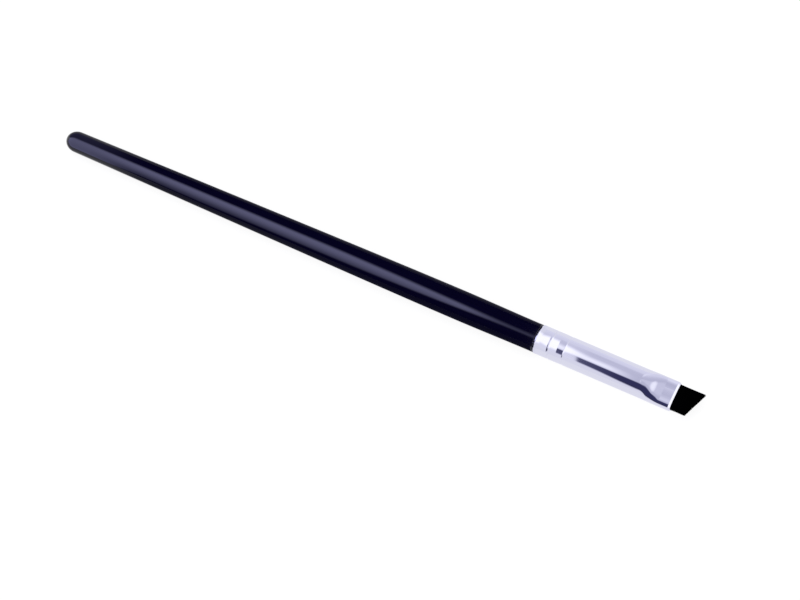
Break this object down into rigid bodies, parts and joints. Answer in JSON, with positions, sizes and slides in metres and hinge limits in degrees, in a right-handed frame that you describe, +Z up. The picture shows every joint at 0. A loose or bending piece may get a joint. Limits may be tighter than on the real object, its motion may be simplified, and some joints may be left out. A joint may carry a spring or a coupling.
{
  "type": "eyeliner brush",
  "caption": "Angled eyeliner brush: slim turned handle, crimped metal ferrule pressed flat at its mouth, and a short, dense tuft cut on a slant.",
  "frame": {"origin": "on the table under the middle of the brush's length, as it lies on the belly of its handle", "axes": "+X along the brush from the rounded end of the handle to the tuft, +Y to the tuft's long side, +Z up; the flats of the ferrule's mouth face up and down, leaning with the brush by its lying angle of 0.41 degrees"},
  "size_m": [0.1699, 0.007, 0.0073],
  "materials": {
    "black_lacquered_wood": "high gloss black lacquer",
    "bright_aluminium": "bright drawn and anodised",
    "black_filament": "matte synthetic filament",
    "binding_thread": "waxed thread",
    "potting_resin": "cured resin",
    "wood_glue": "dried glue"
  },
  "bodies": {
    "root": {"handle": "black_lacquered_wood", "tenon_glue": "wood_glue", "ferrule": "bright_aluminium", "root_glue_plug": "potting_resin", "root_binding": "binding_thread", "bristle_tuft": "black_filament"}
  },
  "joints": []
}
